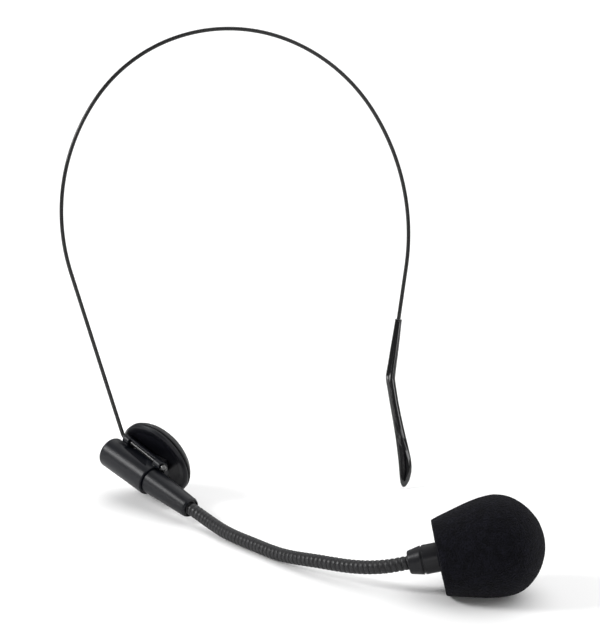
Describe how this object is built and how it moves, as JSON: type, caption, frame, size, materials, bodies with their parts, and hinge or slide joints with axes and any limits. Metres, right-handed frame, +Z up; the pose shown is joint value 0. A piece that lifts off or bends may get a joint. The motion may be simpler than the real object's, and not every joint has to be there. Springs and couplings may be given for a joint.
{
  "type": "headset microphone",
  "caption": "Headworn microphone: thin sprung wire band, swivelling temple pad with barrel housing, kinked temple tip, ribbed gooseneck boom and pull-off foam windscreen.",
  "frame": {"origin": "centre of the base of the bounding box, on the surface that the headset stands on", "axes": "+Z up as the headset stands on its pad rim, temple tip and windscreen; +X from the pad side of the band to the temple-tip side; the boom reaches out towards -Y"},
  "size_m": [0.1692, 0.1792, 0.1833],
  "materials": {
    "band_wire": "thin satin black coating on sprung steel wire",
    "bead_steel": "dark polished steel bead",
    "tip_gloss": "glossy black moulded sleeve",
    "barrel_black": "satin black moulded housing",
    "collar_black": "satin black moulded collar",
    "pad_plate": "satin black moulded plate",
    "pad_rubber": "soft black silicone rubber",
    "pad_face": "black knitted facing",
    "screw_steel": "plain steel",
    "socket_metal": "nickel-plated brass neck",
    "nut_black": "black knurled ring nut",
    "socket_plastic": "black moulded socket body",
    "contact_brass": "spring contact",
    "board_green": "small circuit board",
    "bush_white": "acetal friction bush",
    "ferrule_black": "blackened crimped ferrule",
    "gooseneck_black": "matt black ribbed flexible steel arm",
    "lead_black": "thin screened lead",
    "mic_black": "black anodised holder",
    "boot_rubber": "soft rubber boot",
    "capsule_alu": "drawn capsule can",
    "diaphragm_film": "metallised film on its ring",
    "felt_black": "thin felt disc",
    "grille_black": "perforated cap",
    "foam_black": "fine open-pored foam"
  },
  "bodies": {
    "headband": {"headband_wire": "band_wire", "wire_end_bead": "bead_steel", "temple_tip": "tip_gloss"},
    "housing": {"barrel_shell": "barrel_black", "pad_back_plate": "pad_plate", "pad_cushion": "pad_rubber", "pad_face_disc": "pad_face", "pad_screws": "screw_steel", "socket_neck": "socket_metal", "socket_nut": "nut_black", "socket_body": "socket_plastic", "socket_tip_contact": "contact_brass", "socket_ring_contact": "contact_brass", "junction_board": "board_green", "swivel_bush": "bush_white"},
    "boom_base": {"boom_collar": "collar_black", "collar_grub_screw": "screw_steel", "swivel_clip": "screw_steel", "gooseneck_rear_ferrule": "ferrule_black", "gooseneck_link_1": "gooseneck_black", "boom_lead_1": "lead_black"},
    "boom_2": {"gooseneck_link_2": "gooseneck_black", "boom_lead_2": "lead_black"},
    "boom_3": {"gooseneck_link_3": "gooseneck_black", "boom_lead_3": "lead_black"},
    "boom_4": {"gooseneck_link_4": "gooseneck_black", "boom_lead_4": "lead_black"},
    "boom_5": {"gooseneck_link_5": "gooseneck_black", "boom_lead_5": "lead_black"},
    "boom_6": {"gooseneck_link_6": "gooseneck_black", "boom_lead_6": "lead_black"},
    "boom_7": {"gooseneck_link_7": "gooseneck_black", "boom_lead_7": "lead_black"},
    "microphone": {"gooseneck_link_8": "gooseneck_black", "boom_lead_8": "lead_black", "gooseneck_front_ferrule": "ferrule_black", "mic_tail_collar": "mic_black", "mic_sleeve": "mic_black", "capsule_boot": "boot_rubber", "capsule_board": "board_green", "capsule_can": "capsule_alu", "capsule_diaphragm": "diaphragm_film", "capsule_felt": "felt_black", "mic_grille": "grille_black"},
    "windscreen": {"foam_windscreen": "foam_black"}
  },
  "joints": [
    {"name": "pad_pivot", "type": "hinge", "parent": "headband", "child": "housing", "pos_m": [-0.05398, 0.03647, 0.0211], "axis": [0.5793, -0.7682, -0.2725], "range_deg": [-25, 25]},
    {"name": "boom_swivel", "type": "hinge", "parent": "housing", "child": "boom_base", "pos_m": [-0.05342, 0.03145, 0.01257], "axis": [0.6101, -0.7561, -0.237], "range_deg": [-90, 90]},
    {"name": "neck_swing_1", "type": "hinge", "parent": "boom_base", "child": "boom_2", "pos_m": [-0.03214, 0.00508, 0.0043], "axis": [0.0931, -0.1347, 0.9865], "range_deg": [-20, 20]},
    {"name": "neck_lift_2", "type": "hinge", "parent": "boom_2", "child": "boom_3", "pos_m": [-0.02399, -0.00875, 0.00287], "axis": [-0.8375, -0.5464, 0], "range_deg": [-20, 20]},
    {"name": "neck_swing_3", "type": "hinge", "parent": "boom_3", "child": "boom_4", "pos_m": [-0.0146, -0.02181, 0.00275], "axis": [-0.0033, 0.0045, 1], "range_deg": [-20, 20]},
    {"name": "neck_lift_4", "type": "hinge", "parent": "boom_4", "child": "boom_5", "pos_m": [-0.00475, -0.03453, 0.00305], "axis": [-0.7664, -0.6424, 0], "range_deg": [-20, 20]},
    {"name": "neck_swing_5", "type": "hinge", "parent": "boom_5", "child": "boom_6", "pos_m": [0.00596, -0.04634, 0.00508], "axis": [-0.0818, 0.082, 0.9933], "range_deg": [-20, 20]},
    {"name": "neck_lift_6", "type": "hinge", "parent": "boom_6", "child": "boom_7", "pos_m": [0.01777, -0.05712, 0.00677], "axis": [-0.599, -0.8007, 0], "range_deg": [-20, 20]},
    {"name": "neck_swing_7", "type": "hinge", "parent": "boom_7", "child": "microphone", "pos_m": [0.03131, -0.0653, 0.00983], "axis": [-0.2006, 0.0784, 0.9765], "range_deg": [-20, 20]},
    {"name": "windscreen_pull", "type": "slide", "parent": "microphone", "child": "windscreen", "axis": [0.9531, -0.192, 0.234], "range_m": [0, 0.03]}
  ]
}
